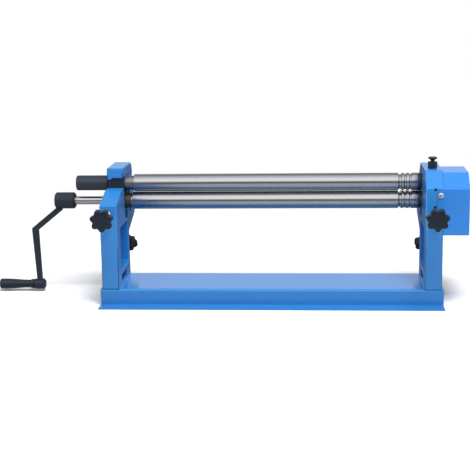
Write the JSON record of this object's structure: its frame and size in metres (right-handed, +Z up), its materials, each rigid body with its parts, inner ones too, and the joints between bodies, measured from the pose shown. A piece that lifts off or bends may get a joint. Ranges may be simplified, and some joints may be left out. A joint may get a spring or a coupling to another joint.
{
  "type": "bench slip roll",
  "caption": "Hand-cranked bench slip roll with geared front rolls, an adjustable rear roll, wire grooves, screw-set gaps and a quick-release end on a folded base.",
  "frame": {"origin": "centre of the four foot holes, on the underside of the base", "axes": "+X along the rolls towards the gear cover, +Y away from the operator, +Z up"},
  "size_m": [1.0262, 0.3201, 0.3065],
  "materials": {
    "blue_sheet": "satin paint on folded steel",
    "blue_casting": "satin paint on cast iron",
    "bright_blue_sheet": "satin paint on folded steel",
    "ground_steel": "ground and polished",
    "zinc_steel": "zinc plated",
    "gear_steel": "cut and greased",
    "black_steel": "black oxide",
    "black_iron": "black, satin",
    "black_grip": "smooth, satin",
    "black_plastic": "moulded, semi-gloss",
    "bronze": "sintered, dull"
  },
  "bodies": {
    "frame": {"base_channel": "blue_sheet", "left_frame": "blue_casting", "right_frame": "blue_casting", "frame_bolts": "zinc_steel", "frame_washers": "zinc_steel", "gear_cover": "bright_blue_sheet", "cover_screws": "zinc_steel", "cap_hinge_pin": "ground_steel", "upper_right_race": "zinc_steel", "race_locating_rod": "zinc_steel", "plunger_body": "black_steel", "plunger_locknut": "zinc_steel"},
    "cap": {"release_cap": "blue_casting"},
    "upper_bearings": {"upper_left_block": "black_iron", "upper_right_ball": "ground_steel"},
    "upper_roll_set": {"upper_roll": "ground_steel", "upper_roll_grip": "black_grip", "upper_collar": "black_steel", "upper_gear": "gear_steel", "upper_gear_key": "ground_steel", "upper_circlip": "black_steel"},
    "lower_bearings": {"lower_left_block": "black_iron", "lower_right_block": "black_iron", "lower_left_bush": "bronze", "lower_right_bush": "bronze"},
    "lower_roll_set": {"lower_roll": "ground_steel", "lower_collar": "black_steel", "lower_gear": "gear_steel", "lower_gear_key": "ground_steel", "lower_circlip": "black_steel", "crank_arm": "black_iron", "crank_set_screw": "black_steel", "crank_spindle": "zinc_steel"},
    "grip": {"crank_grip": "black_plastic"},
    "left_wedge": {"left_wedge_pin": "ground_steel"},
    "right_wedge": {"right_wedge_pin": "ground_steel"},
    "left_front_adjuster": {"left_front_screw": "zinc_steel", "left_front_knob": "black_plastic"},
    "right_front_adjuster": {"right_front_screw": "zinc_steel", "right_front_knob": "black_plastic"},
    "rear_bearings": {"left_rear_bush": "bronze", "right_rear_bush": "bronze"},
    "rear_roll_set": {"rear_roll": "ground_steel"},
    "left_rear_adjuster": {"left_rear_screw": "zinc_steel", "left_rear_knob": "black_plastic"},
    "right_rear_adjuster": {"right_rear_screw": "zinc_steel", "right_rear_knob": "black_plastic"},
    "plunger": {"plunger_pin": "ground_steel", "plunger_knob": "black_plastic", "plunger_spring": "ground_steel"}
  },
  "joints": [
    {"name": "cap_open", "type": "hinge", "parent": "frame", "child": "cap", "pos_m": [-0.34, 0.118, 0.259], "axis": [-1, 0, 0], "range_deg": [0, 100]},
    {"name": "upper_tilt", "type": "hinge", "parent": "frame", "child": "upper_bearings", "pos_m": [0.345, 0.05, 0.245], "axis": [0, 1, 0], "range_deg": [0, 1.8]},
    {"name": "upper_roll_spin", "type": "hinge", "parent": "upper_bearings", "child": "upper_roll_set", "pos_m": [0.345, 0.05, 0.245], "axis": [1, 0, 0], "continuous": true},
    {"name": "lower_lift", "type": "slide", "parent": "frame", "child": "lower_bearings", "axis": [0, 0, 1], "range_m": [0, 0.0008]},
    {"name": "crank_turn", "type": "hinge", "parent": "lower_bearings", "child": "lower_roll_set", "pos_m": [0, 0.05, 0.206], "axis": [1, 0, 0], "continuous": true},
    {"name": "crank_grip_spin", "type": "hinge", "parent": "lower_roll_set", "child": "grip", "pos_m": [-0.575, 0.05, 0.016], "axis": [1, 0, 0], "continuous": true},
    {"name": "left_wedge_slide", "type": "slide", "parent": "frame", "child": "left_wedge", "axis": [0, 1, 0], "range_m": [0, 0.006]},
    {"name": "right_wedge_slide", "type": "slide", "parent": "frame", "child": "right_wedge", "axis": [0, 1, 0], "range_m": [0, 0.006]},
    {"name": "left_front_knob_turn", "type": "hinge", "parent": "left_wedge", "child": "left_front_adjuster", "pos_m": [-0.34, -0.145, 0.198], "axis": [0, 1, 0], "range_deg": [0, 1234.29]},
    {"name": "right_front_knob_turn", "type": "hinge", "parent": "right_wedge", "child": "right_front_adjuster", "pos_m": [0.34, -0.145, 0.198], "axis": [0, 1, 0], "range_deg": [0, 1234.29]},
    {"name": "rear_lift", "type": "slide", "parent": "frame", "child": "rear_bearings", "axis": [0, -0.3746, 0.9272], "range_m": [0, 0.026]},
    {"name": "rear_roll_spin", "type": "hinge", "parent": "rear_bearings", "child": "rear_roll_set", "pos_m": [0, 0.098, 0.198], "axis": [1, 0, 0], "continuous": true},
    {"name": "left_rear_knob_turn", "type": "hinge", "parent": "rear_bearings", "child": "left_rear_adjuster", "pos_m": [-0.34, 0.098, 0.198], "axis": [0, -0.3746, 0.9272], "range_deg": [0, 5348.57]},
    {"name": "right_rear_knob_turn", "type": "hinge", "parent": "rear_bearings", "child": "right_rear_adjuster", "pos_m": [0.34, 0.098, 0.198], "axis": [0, -0.3746, 0.9272], "range_deg": [0, 5348.57]},
    {"name": "plunger_pull", "type": "slide", "parent": "frame", "child": "plunger", "axis": [0, 0, 1], "range_m": [0, 0.006], "stiffness_N_per_m": 1200, "springref_m": -0.004, "deforming": ["plunger_spring"]}
  ],
  "couplings": [
    {"joint": "upper_tilt", "follows": "cap_open", "ratio": 0.018},
    {"joint": "upper_roll_spin", "follows": "crank_turn", "ratio": -1},
    {"joint": "left_wedge_slide", "follows": "lower_lift", "ratio": 7.499},
    {"joint": "right_wedge_slide", "follows": "lower_lift", "ratio": 7.499},
    {"joint": "left_front_knob_turn", "follows": "lower_lift", "rad_per_m": 26928},
    {"joint": "right_front_knob_turn", "follows": "lower_lift", "rad_per_m": 26928},
    {"joint": "left_rear_knob_turn", "follows": "rear_lift", "rad_per_m": 3590.4},
    {"joint": "right_rear_knob_turn", "follows": "rear_lift", "rad_per_m": 3590.4}
  ]
}
